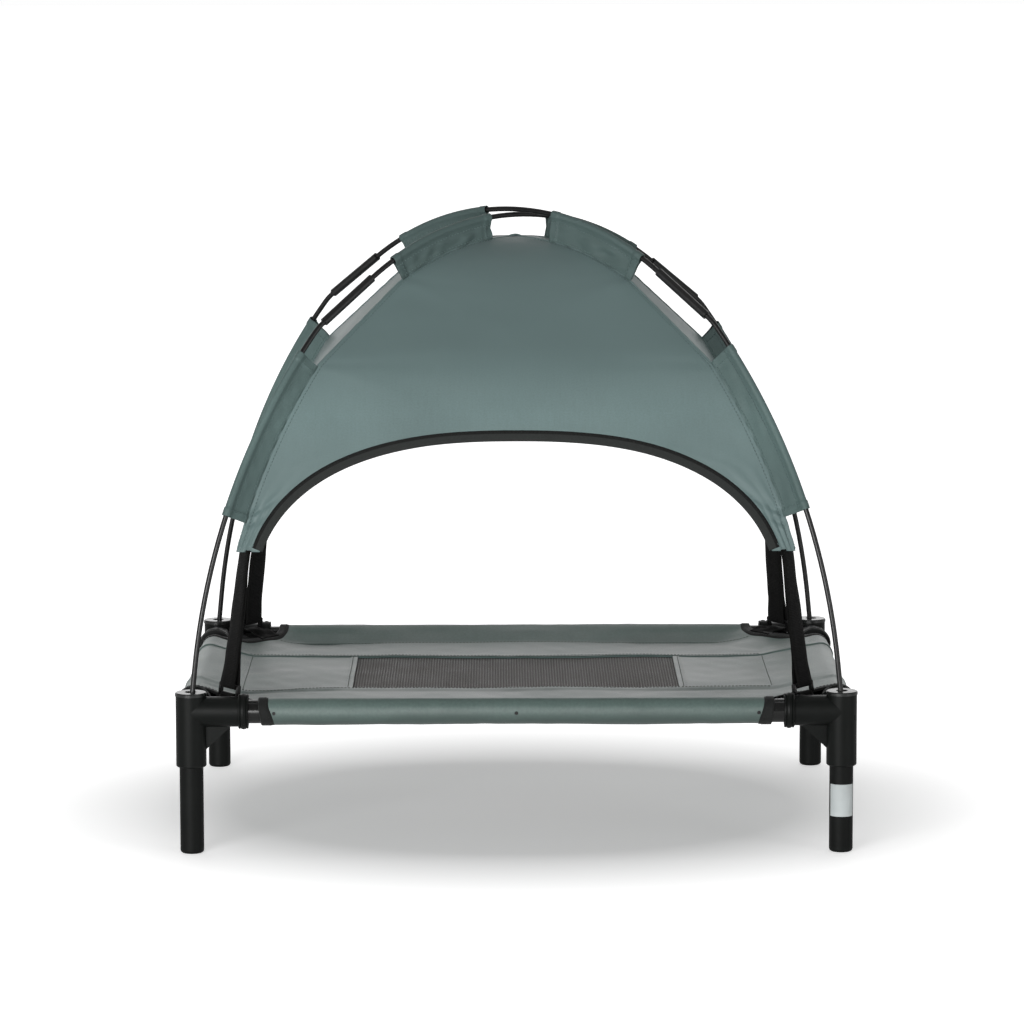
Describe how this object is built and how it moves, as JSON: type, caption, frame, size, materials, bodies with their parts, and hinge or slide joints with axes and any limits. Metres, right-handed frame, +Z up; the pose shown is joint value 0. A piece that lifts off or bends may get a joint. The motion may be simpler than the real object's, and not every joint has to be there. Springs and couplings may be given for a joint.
{
  "type": "pet cot with canopy",
  "caption": "Raised rectangular sling bed on tube legs for a pet, with a domed fabric sun canopy on crossed arched poles plugged into the corner posts.",
  "frame": {"origin": "on the floor, below the middle of the cot", "axes": "+X along the cot's long side to the right seen from the front, +Y to the back, +Z up"},
  "size_m": [0.6332, 0.4632, 0.5824],
  "materials": {
    "connector_plastic": "fine moulded grain, satin",
    "cap_plastic": "fine moulded grain, matte",
    "coated_steel": "black powder coat, semi-gloss",
    "sling_fabric": "plain-weave coated polyester, matte",
    "mesh_fabric": "open coated mesh",
    "binding_tape": "woven binding tape, folded over the edge",
    "webbing": "ribbed woven webbing",
    "screw_steel": "black oxide",
    "label_vinyl": "blank white sticker",
    "pole_glassfibre": "smooth pultruded rod, satin",
    "ferrule_metal": "black anodised, satin",
    "elastic_cord": "braided elastic",
    "canopy_fabric": "plain-weave coated polyester, matte"
  },
  "bodies": {
    "cot": {"corner_front_left": "connector_plastic", "corner_front_right": "connector_plastic", "corner_back_left": "connector_plastic", "corner_back_right": "connector_plastic", "cap_front_left": "cap_plastic", "cap_front_right": "cap_plastic", "cap_back_left": "cap_plastic", "cap_back_right": "cap_plastic", "leg_front_left": "coated_steel", "leg_front_right": "coated_steel", "leg_back_left": "coated_steel", "leg_back_right": "coated_steel", "foot_front_left": "connector_plastic", "foot_front_right": "connector_plastic", "foot_back_left": "connector_plastic", "foot_back_right": "connector_plastic", "rail_front": "coated_steel", "rail_back": "coated_steel", "rail_left": "coated_steel", "rail_right": "coated_steel", "sling_cloth": "sling_fabric", "sling_mesh": "mesh_fabric", "binding_front_left": "binding_tape", "binding_front_right": "binding_tape", "binding_back_left": "binding_tape", "binding_back_right": "binding_tape", "sling_screws": "screw_steel", "leg_label": "label_vinyl", "anchor_tapes": "webbing", "strap_rings": "connector_plastic"},
    "canopy": {"pole_a_left": "pole_glassfibre", "pole_a_middle": "pole_glassfibre", "pole_a_right": "pole_glassfibre", "pole_b_left": "pole_glassfibre", "pole_b_middle": "pole_glassfibre", "pole_b_right": "pole_glassfibre", "ferrule_front_left": "ferrule_metal", "ferrule_front_right": "ferrule_metal", "ferrule_back_left": "ferrule_metal", "ferrule_back_right": "ferrule_metal", "pole_tips": "pole_glassfibre", "shock_cord_a": "elastic_cord", "shock_cord_b": "elastic_cord", "canopy_cloth": "canopy_fabric", "lower_sleeve_front_left": "canopy_fabric", "lower_sleeve_front_right": "canopy_fabric", "lower_sleeve_back_left": "canopy_fabric", "lower_sleeve_back_right": "canopy_fabric", "upper_sleeve_front_left": "canopy_fabric", "upper_sleeve_front_right": "canopy_fabric", "upper_sleeve_back_left": "canopy_fabric", "upper_sleeve_back_right": "canopy_fabric", "arch_binding_front": "binding_tape", "arch_binding_back": "binding_tape", "arch_binding_left": "binding_tape", "arch_binding_right": "binding_tape", "strap_front_left": "webbing", "strap_front_right": "webbing", "strap_back_left": "webbing", "strap_back_right": "webbing"}
  },
  "joints": [
    {"name": "canopy_lift", "type": "slide", "parent": "cot", "child": "canopy", "axis": [0, 0, 1], "range_m": [0, 0.3]}
  ]
}
